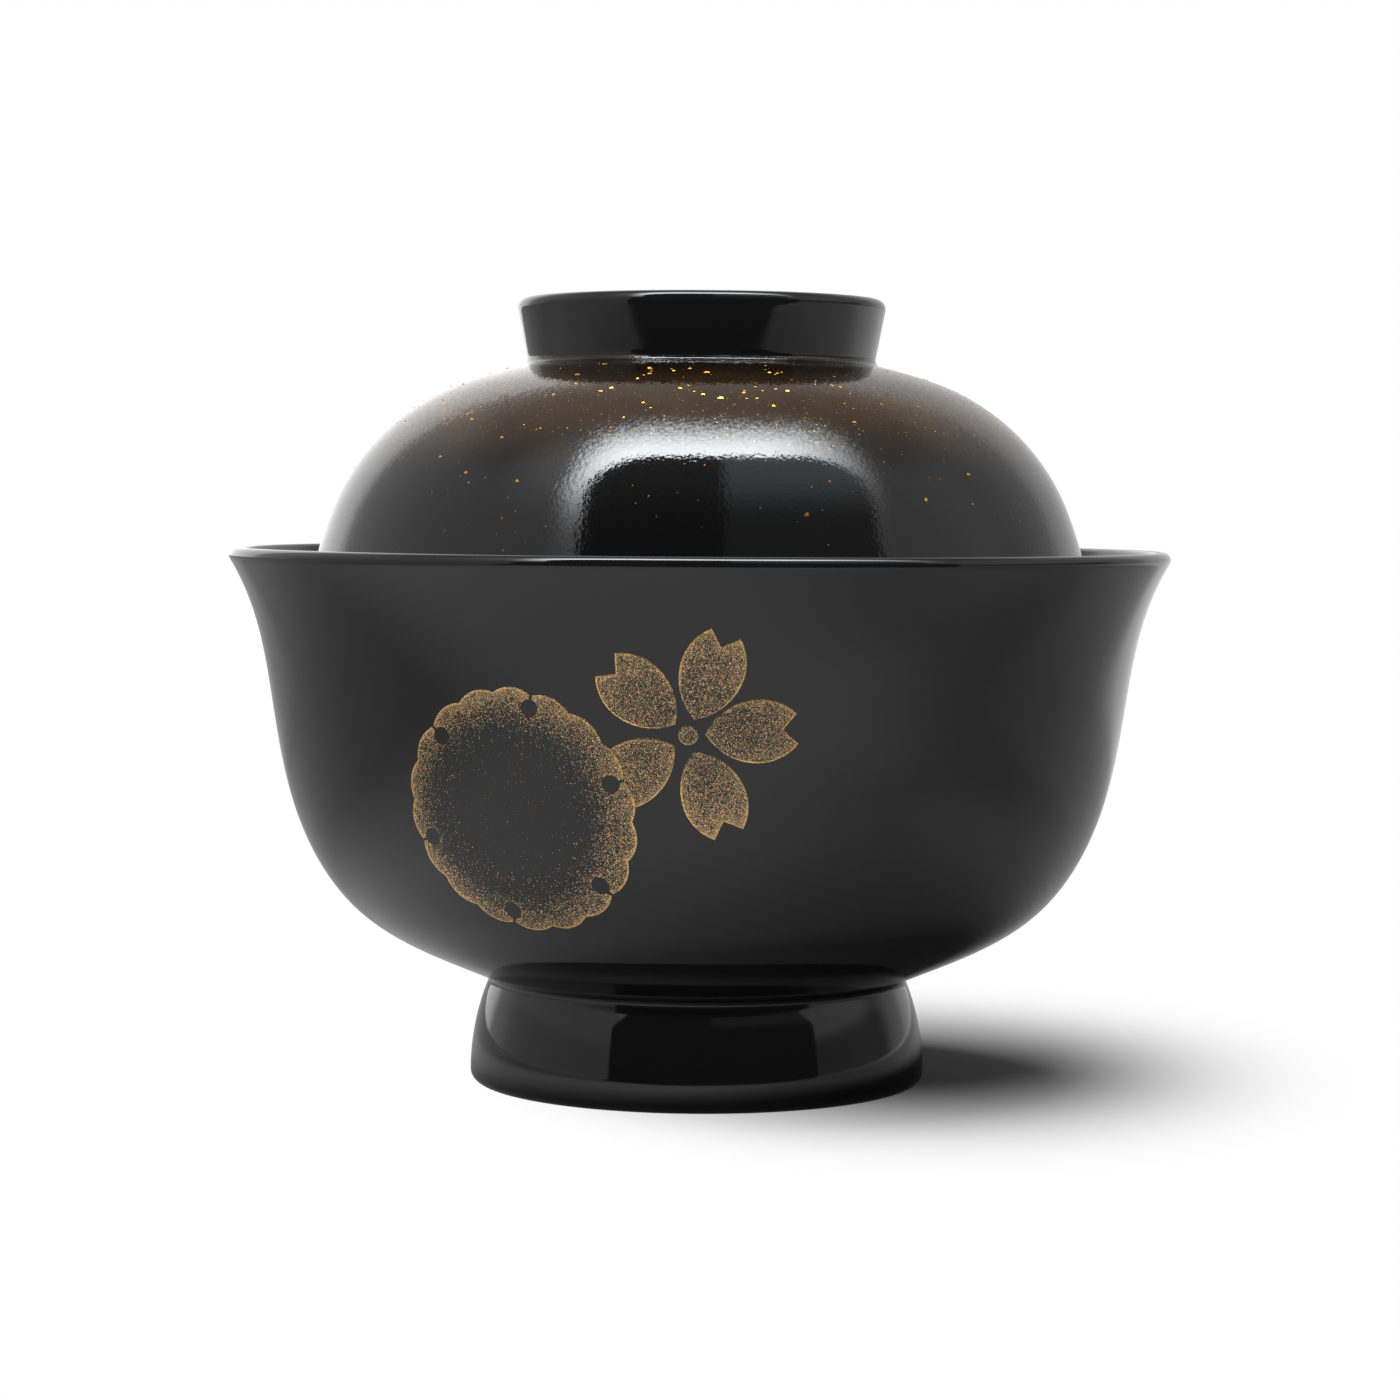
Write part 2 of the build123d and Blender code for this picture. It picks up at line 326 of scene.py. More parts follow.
def ramp(tree, value, low, high, lowResult=0.0, highResult=1.0):
    node = tree.nodes.new("ShaderNodeMapRange")
    node.interpolation_type = "SMOOTHSTEP"
    for socket, given in zip(node.inputs, (value, low, high, lowResult, highResult)):
        feed(tree, socket, given)
    return node.outputs[0]


def blendColour(tree, factor, first, second):
    node = tree.nodes.new("ShaderNodeMix")
    node.data_type = "RGBA"
    feed(tree, node.inputs["Factor"], factor)
    feed(tree, node.inputs["A"], first)
    feed(tree, node.inputs["B"], second)
    return node.outputs["Result"]


def objectPlace(tree):
    return tree.nodes.new("ShaderNodeTexCoord").outputs["Object"]


def noise(tree, place, size, detail=3.0):
    node = tree.nodes.new("ShaderNodeTexNoise")
    feed(tree, node.inputs["Vector"], place)
    node.inputs["Scale"].default_value = 1 / (size * mm)
    node.inputs["Detail"].default_value = detail
    return node.outputs["Fac"]


def cells(tree, place, size):
    node = tree.nodes.new("ShaderNodeTexVoronoi")
    feed(tree, node.inputs["Vector"], place)
    node.inputs["Scale"].default_value = 1 / (size * mm)
    split = tree.nodes.new("ShaderNodeSeparateColor")
    tree.links.new(node.outputs["Color"], split.inputs[0])
    return node.outputs["Distance"], node.outputs["Color"], split.outputs


# The height is in millimetres
def bump(tree, height):
    node = tree.nodes.new("ShaderNodeBump")
    node.inputs["Strength"].default_value = 1.0
    node.inputs["Distance"].default_value = mm
    feed(tree, node.inputs["Height"], height)
    return node.outputs["Normal"]


# Each cell of a texture leans its own way, as single grains do
def leanEach(tree, facing, colour, amount):
    parts = []
    for operation in ("SUBTRACT", "SCALE", "ADD", "NORMALIZE"):
        node = tree.nodes.new("ShaderNodeVectorMath")
        node.operation = operation
        parts.append(node)
    centred, lean, tilted, unit = parts
    tree.links.new(colour, centred.inputs[0])
    centred.inputs[1].default_value = (0.5, 0.5, 0.5)
    tree.links.new(centred.outputs[0], lean.inputs[0])
    tree.links.new(calc(tree, "MULTIPLY", amount, 2.0), lean.inputs["Scale"])
    tree.links.new(facing, tilted.inputs[0])
    tree.links.new(lean.outputs[0], tilted.inputs[1])
    tree.links.new(tilted.outputs[0], unit.inputs[0])
    return unit.outputs[0]


lacquerLook = {
    "colour": (0.0045, 0.0045, 0.005, 1), "worn": (0.009, 0.0085, 0.0085, 1),
    "smooth": 0.035, "soft": 0.075, "cloudSize": 14.0, "cloudRange": (0.3, 0.7),
    "waveSize": 9.0, "waveDepth": 0.004, "peelSize": 0.55, "peelDepth": 0.0006,
}


def blackLacquer(s):
    material, tree, shader = newMaterial("black_lacquer")
    place = objectPlace(tree)
    clouds = noise(tree, place, s["cloudSize"])
    feed(tree, shader.inputs["Base Color"], blendColour(tree, clouds, s["colour"], s["worn"]))
    feed(tree, shader.inputs["Roughness"], ramp(tree, clouds, *s["cloudRange"], s["smooth"], s["soft"]))
    waves = calc(tree, "MULTIPLY", noise(tree, place, s["waveSize"], detail=1.0), s["waveDepth"])
    peel = calc(tree, "MULTIPLY", noise(tree, place, s["peelSize"], detail=1.0), s["peelDepth"])
    feed(tree, shader.inputs["Normal"], bump(tree, calc(tree, "ADD", waves, peel)))
    return material


lidLook = {
    "colour": (0.005, 0.0048, 0.005, 1), "brown": (0.105, 0.054, 0.016, 1),
    "knob": (0.009, 0.009, 0.010, 1), "gold": (0.46, 0.21, 0.06, 1),
    "brownLow": 77.5, "brownHigh": 87.0, "brownEnd": 91.0, "brownInKnobShade": 0.2, "knobFoot": 92.3,
    "smooth": 0.045, "soft": 0.08, "cloudSize": 11.0, "cloudRange": (0.3, 0.7),
    "waveSize": 7.0, "waveDepth": 0.006, "peelSize": 0.5, "peelDepth": 0.014, "knobPeel": 0.12,
    "gritFoot": 0.006, "gritTop": 0.032, "gritLow": 79.5, "gritHigh": 84.5,
    "grainSize": 0.24, "grainReach": 0.34, "grainTop": 0.045, "grainFoot": 0.004, "grainSoft": 0.34,
}


def lidLacquer(s):
    material, tree, shader = newMaterial("lid_lacquer")
    place = objectPlace(tree)
    split = tree.nodes.new("ShaderNodeSeparateXYZ")
    tree.links.new(place, split.inputs[0])
    height = calc(tree, "DIVIDE", split.outputs["Z"], mm)
    dome = calc(tree, "LESS_THAN", height, s["knobFoot"])
    upper = ramp(tree, height, s["brownLow"], s["brownHigh"])
    # painted shade: the brown fades towards the knob's foot, standing in for the knob's shadow on the dome
    knobShadeFade = ramp(tree, height, s["brownHigh"], s["brownEnd"], 1.0, s["brownInKnobShade"])
    collar = calc(tree, "MULTIPLY", upper, knobShadeFade)
    collar = calc(tree, "MULTIPLY", collar, dome)
    clouds = noise(tree, place, s["cloudSize"])
    black = blendColour(tree, dome, s["knob"], s["colour"])
    brown = blendColour(tree, calc(tree, "MULTIPLY", collar, clouds), black, s["brown"])
    distance, colour, chance = cells(tree, place, s["grainSize"])
    share = ramp(tree, upper, 0.0, 1.0, s["grainFoot"], s["grainTop"])
    chosen = calc(tree, "LESS_THAN", chance[0], calc(tree, "MULTIPLY", share, dome))
    grain = calc(tree, "MULTIPLY", chosen, calc(tree, "LESS_THAN", distance, s["grainReach"]))
    feed(tree, shader.inputs["Base Color"], blendColour(tree, grain, brown, s["gold"]))
    feed(tree, shader.inputs["Metallic"], grain)
    gloss = ramp(tree, clouds, *s["cloudRange"], s["smooth"], s["soft"])
    feed(tree, shader.inputs["Roughness"], ramp(tree, grain, 0.0, 1.0, gloss, s["grainSoft"]))
    waves = calc(tree, "MULTIPLY", noise(tree, place, s["waveSize"], detail=1.0), s["waveDepth"])
    peelDepth = ramp(tree, dome, 0.0, 1.0, s["knobPeel"] * s["peelDepth"], s["peelDepth"])
    peel = calc(tree, "MULTIPLY", noise(tree, place, s["peelSize"], detail=2.0), peelDepth)
    grit = ramp(tree, height, s["gritLow"], s["gritHigh"], s["gritFoot"], s["gritTop"])
    grit = calc(tree, "MULTIPLY", dome, grit)
    facing = bump(tree, calc(tree, "ADD", waves, peel))
    feed(tree, shader.inputs["Normal"], leanEach(tree, facing, colour, grit))
    return material


powderLook = {
    "black": (0.0045, 0.0045, 0.005, 1), "grainSize": 0.09, "grainReach": 0.78, "tilt": 0.21,
    "patchSize": 3.5, "patchRange": (0.35, 0.65), "patchThin": 0.84, "patchThick": 1.1,
    "golds": (
        (0.76, 0.42, 0.19, 1), (0.42, 0.24, 0.13, 1), (1.0, 0.66, 0.35, 1), (0.27, 0.28, 0.15, 1),
        (0.66, 0.37, 0.19, 1), (0.57, 0.20, 0.15, 1), (0.30, 0.17, 0.12, 1),
    ),
    "line": (1.0, 0.61, 0.22, 1), "lineFrom": 0.86, "lineTo": 0.98,
    "lineBreak": 0.24, "breakRange": (0.38, 0.60), "breakLeast": 0.12, "gloss": 0.05, "grainSoft": 0.36,
}


def goldPowder(s):
    material, tree, shader = newMaterial("gold_powder")
    place = objectPlace(tree)
    amount = tree.nodes.new("ShaderNodeAttribute")
    amount.attribute_name = "powder"
    distance, colour, chance = cells(tree, place, s["grainSize"])
    patches = noise(tree, place, s["patchSize"], detail=1.0)
    patches = ramp(tree, patches, *s["patchRange"], s["patchThin"], s["patchThick"])
    chosen = calc(tree, "LESS_THAN", chance[0], calc(tree, "MULTIPLY", amount.outputs["Fac"], patches))
    grain = calc(tree, "MULTIPLY", chosen, calc(tree, "LESS_THAN", distance, s["grainReach"]))
    line = ramp(tree, amount.outputs["Fac"], s["lineFrom"], s["lineTo"])
    breaks = ramp(tree, noise(tree, place, s["lineBreak"]), *s["breakRange"], s["breakLeast"], 1.0)
    line = calc(tree, "MULTIPLY", line, breaks)
    cover = calc(tree, "MAXIMUM", grain, line)
    golds = tree.nodes.new("ShaderNodeValToRGB")
    golds.color_ramp.interpolation = "CONSTANT"
    bar = golds.color_ramp.elements
    for i, tone in enumerate(s["golds"]):
        element = bar[i] if i < 2 else bar.new(0.5)
        element.position = i / len(s["golds"])
        element.color = tone
    feed(tree, golds.inputs["Fac"], chance[1])
    metal = blendColour(tree, line, golds.outputs["Color"], s["line"])
    feed(tree, shader.inputs["Base Color"], blendColour(tree, cover, s["black"], metal))
    feed(tree, shader.inputs["Metallic"], cover)
    feed(tree, shader.inputs["Roughness"], ramp(tree, cover, 0.0, 1.0, s["gloss"], s["grainSoft"]))
    facing = tree.nodes.new("ShaderNodeNewGeometry").outputs["Normal"]
    tilt = calc(tree, "MULTIPLY", cover, s["tilt"])
    feed(tree, shader.inputs["Normal"], leanEach(tree, facing, colour, tilt))
    return material


flakeLook = {
    "colour": (0.88, 0.33, 0.05, 1), "pale": (0.94, 0.45, 0.09, 1), "spread": 1.3, "paleRange": (0.35, 0.65),
    "soft": 0.5, "smooth": 0.25, "softRange": (0.3, 0.7),
}


def goldFlake(s):
    material, tree, shader = newMaterial("gold_flake")
    tone = noise(tree, objectPlace(tree), s["spread"])
    pale = ramp(tree, tone, *s["paleRange"])
    feed(tree, shader.inputs["Base Color"], blendColour(tree, pale, s["colour"], s["pale"]))
    shader.inputs["Metallic"].default_value = 1.0
    feed(tree, shader.inputs["Roughness"], ramp(tree, tone, *s["softRange"], s["soft"], s["smooth"]))
    return material


woodLook = {
    "early": (0.42, 0.26, 0.13, 1), "late": (0.27, 0.15, 0.07, 1), "ringSize": 3.2, "ringWarp": 3.0,
    "waveFactor": 20.0,  # the wave texture's own scale
    "sealed": (0.012, 0.010, 0.009, 1), "sealLow": 0.3, "sealHigh": 0.6,
    "poreSize": 1.5, "poreRange": (0.3, 0.7), "smooth": 0.38, "soft": 0.55,
}


def turnedWood(s):
    material, tree, shader = newMaterial("turned_wood")
    place = objectPlace(tree)
    rings = tree.nodes.new("ShaderNodeTexWave")
    feed(tree, rings.inputs["Vector"], place)
    rings.inputs["Scale"].default_value = 1 / (s["ringSize"] * mm) / s["waveFactor"]
    rings.inputs["Distortion"].default_value = s["ringWarp"]
    grain = blendColour(tree, rings.outputs["Fac"], s["early"], s["late"])
    height = tree.nodes.new("ShaderNodeSeparateXYZ")
    tree.links.new(place, height.inputs[0])
    bare = ramp(tree, height.outputs["Z"], s["sealLow"] * mm, s["sealHigh"] * mm)
    feed(tree, shader.inputs["Base Color"], blendColour(tree, bare, s["sealed"], grain))
    pores = noise(tree, place, s["poreSize"])
    feed(tree, shader.inputs["Roughness"], ramp(tree, pores, *s["poreRange"], s["smooth"], s["soft"]))
    return material


blackCoat = blackLacquer(lacquerLook)
lidCoat = lidLacquer(lidLook)
powder = goldPowder(powderLook)
flakeGold = goldFlake(flakeLook)
wood = turnedWood(woodLook)
for core in ("bowl_core", "lid_core"):
    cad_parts[core].data.materials.clear()
    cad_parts[core].data.materials.append(wood)
print("materials made")

bowlOutside, bowlInside, footRecess, bowlWall = bowlProfiles(bowlShape)
lidOutside, knobRecess, lidInside, lidDome = lidProfiles(lidShape)

for name, profile, body, slot, material, node in (
    ("bowl_outer_lacquer", bowlOutside, "bowl", "black_lacquer", blackCoat, "bowl_outer_coat"),
    ("bowl_inner_lacquer", bowlInside, "bowl", "black_lacquer", blackCoat, "bowl_inner_coat"),
    ("foot_recess_lacquer", footRecess, "bowl", "black_lacquer", blackCoat, "foot_recess_coat"),
    ("lid_outer_lacquer", lidOutside, "lid", "lid_lacquer", lidCoat, "lid_outer_coat"),
    ("knob_recess_lacquer", knobRecess, "lid", "black_lacquer", blackCoat, "knob_recess_coat"),
    ("lid_inner_lacquer", lidInside, "lid", "black_lacquer", blackCoat, "lid_inner_coat"),
):
    finishPiece(turnCoat(name, profile), body, slot, material, node)

# Gold figures: flat sheets in the figure's own plane, x across and y up, then laid on the wall
wallPoints = pointsAlong(bowlWall, turning["wallSteps"])
wallRuns = np.gradient(wallPoints, axis=0)
wallRuns /= np.linalg.norm(wallRuns, axis=1)[:, None]


def layOnWall(piece, turn, height):
    flat = np.array([v.co for v in piece.data.vertices]) / mm
    z = height + flat[:, 1]
    radius = np.interp(z, wallPoints[:, 1], wallPoints[:, 0])
    outRadial = np.interp(z, wallPoints[:, 1], wallRuns[:, 1])
    outUp = -np.interp(z, wallPoints[:, 1], wallRuns[:, 0])
    angle = math.radians(turn) + np.arcsin(flat[:, 0] / radius)
    reach = radius + outRadial * flat[:, 2]
    places = np.c_[reach * np.sin(angle), -reach * np.cos(angle), z + outUp * flat[:, 2]] * mm
    piece.data.vertices.foreach_set("co", places.astype(np.float32).ravel())
    piece.data.update()


def acrossFigures(points, fromFigure, toFigure):
    z = fromFigure["height"] + points[:, 1]
    radius = np.interp(z, wallPoints[:, 1], wallPoints[:, 0])
    angle = math.radians(fromFigure["turn"] - toFigure["turn"]) + np.arcsin(points[:, 0] / radius)
    return np.c_[radius * np.sin(angle), z - toFigure["height"]]


def flatSheet(name, outline, centre, shares, closed):
    bpy.ops.object.select_all(action="DESELECT")
    bpy.ops.mesh.primitive_circle_add(
        vertices=len(outline), radius=mm, fill_type="NOTHING", location=(0, 0, 0)
    )
    piece = bpy.context.object
    piece.name = name
    for vertex, (x, y) in zip(piece.data.vertices, outline):
        vertex.co = (x * mm, y * mm, 0)
    bpy.ops.object.mode_set(mode="EDIT")
    bpy.ops.mesh.select_all(action="SELECT")
    pivot = (centre[0] * mm, centre[1] * mm, 0)
    for share, following in zip(shares, shares[1:]):
        bpy.ops.mesh.extrude_edges_move()
        bpy.ops.transform.resize(value=(following / share,) * 3, center_override=pivot)
    if closed:
        bpy.ops.mesh.merge(type="CENTER")
    bpy.ops.mesh.select_all(action="SELECT")
    bpy.ops.mesh.normals_make_consistent(inside=False)
    bpy.ops.object.mode_set(mode="OBJECT")
    if piece.data.polygons[0].normal.z < 0:
        piece.data.flip_normals()
    return piece


def cutAway(piece, cutter):
    cut = piece.modifiers.new("cut", "BOOLEAN")
    cut.operation = "DIFFERENCE"
    cut.object = cutter
    applyModifiers(piece)
    bpy.data.objects.remove(cutter)


def joinPieces(pieces, name):
    bpy.ops.object.select_all(action="DESELECT")
    for piece in pieces:
        piece.select_set(True)
    bpy.context.view_layer.objects.active = pieces[0]
    if len(pieces) > 1:
        bpy.ops.object.join()
    pieces[0].name = name
    return pieces[0]


def edgeDistance(points, outline):
    starts, ends = outline, np.roll(outline, -1, axis=0)
    best = np.full(len(points), 1e9)
    for a, b in zip(starts, ends):
        along = b - a
        t = np.clip((points - a) @ along / (along @ along), 0, 1)
        best = np.minimum(best, np.linalg.norm(points - a - t[:, None] * along, axis=1))
    return best


def smooth(value, low, high):
    t = np.clip((value - low) / (high - low), 0, 1)
    return t * t * (3 - 2 * t)


flakeShape = {"sides": 6, "inset": 0.3}


# A thin flake with an inset top, one millimetre in radius
def makeFlake(thickness):
    bpy.ops.object.select_all(action="DESELECT")
    bpy.ops.mesh.primitive_circle_add(
        vertices=flakeShape["sides"], radius=mm, fill_type="NGON", location=(0, 0, 0)
    )
    flake = bpy.context.object
    bpy.ops.object.mode_set(mode="EDIT")
    bpy.ops.mesh.select_all(action="SELECT")
    bpy.ops.mesh.extrude_region_move(TRANSFORM_OT_translate={"value": (0, 0, thickness * mm)})
    bpy.ops.mesh.inset(thickness=flakeShape["inset"] * mm)
    bpy.ops.mesh.select_all(action="SELECT")
    bpy.ops.mesh.normals_make_consistent(inside=False)
    bpy.ops.object.mode_set(mode="OBJECT")
    return flake


def relief(piece, edge, amount, full, s):
    top = np.array([v.co.z for v in piece.data.vertices]) > -s["thickness"] / 2 * mm
    bead = s["bead"] * np.exp(-((edge - s["beadAt"]) / s["beadWidth"]) ** 2)
    rising = s["edgeRise"] + (1 - s["edgeRise"]) * smooth(edge, 0, s["beadAt"])
    lift = s["rise"] * full * rising + bead
    for vertex, isTop, height in zip(piece.data.vertices, top, lift):
        vertex.co.z = height * mm if isTop else -s["sunk"] * mm
    layer = piece.data.attributes.new("powder", "FLOAT", "POINT")
    layer.data.foreach_set("value", amount.astype(np.float32))


# Single bright grains: places in the figure's plane, each a small flake on the gold
def layGrains(places, s, turn, height, draw):
    flake = makeFlake(s["grainThickness"])
    grains = []
    for x, y in places:
        size = s["grainSmall"] + (s["grainLarge"] - s["grainSmall"]) * draw.random() ** 2
        lean = Matrix.Rotation(math.radians(draw.uniform(-1, 1) * s["grainLean"]), 4, "X")
        spin = Matrix.Rotation(draw.uniform(0, 2 * math.pi), 4, "Z")
        copy = flake.copy()
        copy.data = flake.data.copy()
        place = Matrix.Translation(Vector((x, y, s["grainLift"])) * mm)
        stretch = Matrix.Diagonal((size, size * draw.uniform(s["grainNarrow"], 1), 1, 1))
        copy.data.transform(place @ spin @ lean @ stretch)
        bpy.context.collection.objects.link(copy)
        grains.append(copy)
    bpy.data.objects.remove(flake)
    grains = joinPieces(grains, "grains")
    layer = grains.data.attributes.new("powder", "FLOAT", "POINT")
    layer.data.foreach_set("value", np.ones(len(grains.data.vertices), np.float32))
    layOnWall(grains, turn, height)
    return grains


grainShape = {
    "grainThickness": 0.025, "grainSmall": 0.025, "grainLarge": 0.06, "grainNarrow": 0.6,
    "grainLean": 24.0, "grainLift": 0.03,
}


def withGrains(figure, places, s, draw):
    grains = layGrains(places, grainShape, s["turn"], s["height"], draw)
    figure = joinPieces([figure, grains], figure.name)
    shadeSmooth(figure)
    return figure


snowRing = {
    "turn": -23.8, "height": 38.6, "radius": 14.6, "scallops": 18, "scallopRadius": 4.1, "spin": 66.8,
    "notches": 6, "notchInset": 2.1, "notchRadius": 1.05, "holeSides": 48,
    "slit": 0.34, "slitAt": 1.5, "slitLength": 2.0, "band": 6.8, "stepsPerScallop": 24,
    "edgeSteps": (0.0, 0.08, 0.16, 0.26, 0.38, 0.55), "fieldStep": 0.27, "fieldMargin": 0.01,
    "line": 0.18, "least": 0.02, "most": 0.84, "dense": 0.44, "denseUp": 0.14,
    "fadeFrom": 0.2, "fadeShort": 1.4, "fadeRight": 1.1, "fadeUp": 0.5, "fadePower": 1.1,
    "rim": 0.44, "rimReach": 0.55, "holeRim": 0.2, "holeReach": 0.3,
    "grains": 760, "seed": 7, "bareRadius": 13.6, "bareShare": 0.25, "barePower": 4, "grainClear": 0.1,
    "thickness": 0.12, "rise": 0.05, "riseEase": 3.5, "edgeRise": 0.3,
    "bead": 0.025, "beadAt": 0.13, "beadWidth": 0.1, "sunk": 0.02,
}


def snowOutline(s):
    pitch = 2 * math.pi / s["scallops"]
    angles = np.arange(s["scallops"] * s["stepsPerScallop"]) * pitch / s["stepsPerScallop"]
    off = (angles + pitch / 2) % pitch - pitch / 2
    reach = s["radius"] - s["scallopRadius"]
    edge = reach * np.cos(off) + np.sqrt(s["scallopRadius"] ** 2 - (reach * np.sin(off)) ** 2)
    angles = angles + math.radians(s["spin"])
    return np.c_[edge * np.cos(angles), edge * np.sin(angles)]


def notchPlaces(s):
    start = s["spin"] + 180 / s["scallops"]
    return [heading(start + 360 * i / s["notches"]) for i in range(s["notches"])]


def makeSnowRing(s):
    outline = snowOutline(s)
    field = np.arange(s["edgeSteps"][-1] + s["fieldStep"], s["band"] + s["fieldMargin"], s["fieldStep"])
    shares = [1 - step / s["radius"] for step in (*s["edgeSteps"], *field)]
    ring = flatSheet("snow_ring_powder", outline, (0, 0), shares, False)
    thicken(ring, s["thickness"])
    rounds, slits = [], []
    for out in notchPlaces(s):
        hole = out * (s["radius"] - s["notchInset"]) * mm
        bpy.ops.mesh.primitive_cylinder_add(
            vertices=s["holeSides"], radius=s["notchRadius"] * mm, depth=mm, location=(*hole, 0)
        )
        rounds.append(bpy.context.object)
        slit = out * (s["radius"] - s["notchInset"] + s["notchRadius"] * s["slitAt"]) * mm
        spin = math.atan2(out[1], out[0])
        bpy.ops.mesh.primitive_cube_add(size=mm, location=(*slit, 0), rotation=(0, 0, spin))
        bpy.context.object.scale = (s["notchRadius"] * s["slitLength"], s["slit"], 1)
        slits.append(bpy.context.object)
    for cutters in (rounds, slits):
        cutter = joinPieces(cutters, "cutter")
        bpy.ops.object.transform_apply(location=True, rotation=True, scale=True)
        cutAway(ring, cutter)
    flat = np.array([v.co[:2] for v in ring.data.vertices]) / mm
    edge = edgeDistance(flat, outline)
    holes = [out * (s["radius"] - s["notchInset"]) for out in notchPlaces(s)]
    fromHole = np.min([np.linalg.norm(flat - hole, axis=1) for hole in holes], axis=0) - s["notchRadius"]
    fromHole = np.maximum(fromHole, 0)
    inward = s["radius"] - np.linalg.norm(flat, axis=1)
    towardsRight = flat[:, 0] / np.linalg.norm(flat, axis=1)
    depth = s["band"] - s["fadeShort"] + s["fadeRight"] * towardsRight
    depth += s["fadeUp"] * flat[:, 1] / s["radius"]
    dense = s["dense"] + s["denseUp"] * flat[:, 1] / s["radius"]
    field = dense * (1 - smooth(inward, s["fadeFrom"], depth)) ** s["fadePower"]
    rims = s["rim"] * np.exp(-edge / s["rimReach"]) + s["holeRim"] * np.exp(-fromHole / s["holeReach"])
    amount = np.where(edge < s["line"], 1.0, np.minimum(s["most"], s["least"] + field + rims))
    relief(ring, np.minimum(edge, fromHole), amount, smooth(s["band"] - inward, 0, s["riseEase"]), s)
    layOnWall(ring, s["turn"], s["height"])
    draw = random.Random(s["seed"])
    places = []
    while len(places) < s["grains"]:
        place = heading(draw.uniform(0, 360)) * s["bareRadius"] * math.sqrt(draw.random())
        clear = min(np.linalg.norm(place - hole) for hole in holes) > s["notchRadius"] + s["grainClear"]
        wanted = (np.linalg.norm(place) / s["bareRadius"]) ** s["barePower"]
        wanted = s["bareShare"] + (1 - s["bareShare"]) * wanted
        if draw.random() < wanted and clear:
            places.append(place)
    return withGrains(ring, places, s, draw)


cherryBlossom = {
    "turn": -1.25, "height": 48.0, "radius": 12.45, "petalTurns": (20.0, 86.5, 158.0, 235.0, 310.0),
    "base": 1.95, "halfWidth": 3.7, "widest": 8.1, "tipHalf": 1.75, "notchDepth": 1.65, "heart": 7.2,
    "eye": 1.15, "eyeSteps": 64, "eyeHeart": 0.3, "arcSteps": 40, "notchSteps": 12,
    "overlap": 0.06, "cutShares": (1.0, 0.5), "cutDepth": 2.0,
    "edgeSteps": (0.0, 0.08, 0.16, 0.26, 0.38, 0.55), "fieldStep": 0.3,
    "line": 0.18, "lineFull": 8.0, "most": 0.86, "dense": 0.40, "denseOut": 0.14, "outFrom": 3.0,
    "rim": 0.42, "rimReach": 0.55,
    "grains": 60, "seed": 5, "grainFoot": 1.5, "grainTip": 0.3, "grainAcross": 0.6, "grainClear": 0.2,
    "thickness": 0.12, "rise": 0.05, "edgeRise": 0.3,
    "bead": 0.02, "beadAt": 0.13, "beadWidth": 0.1, "sunk": 0.02,
}


def petalOutline(s):
    widest = np.array((s["halfWidth"], s["widest"]))
    toBase = beginAt(*widest)
    arcTo(toBase, heading(-90), (0, s["base"]))
    lower = pointsAlong(toBase, s["arcSteps"])[::-1]
    toTip = beginAt(*widest)
    arcTo(toTip, heading(90), (s["tipHalf"], s["radius"]))
    upper = pointsAlong(toTip, s["arcSteps"])[1:]
    toNotch = beginAt(*upper[-1])
    lineTo(toNotch, (0, s["radius"] - s["notchDepth"]))
    notch = pointsAlong(toNotch, s["notchSteps"])[1:]
    half = np.vstack([lower, upper, notch])
    return np.vstack([half, half[-2:0:-1] * (-1, 1)])


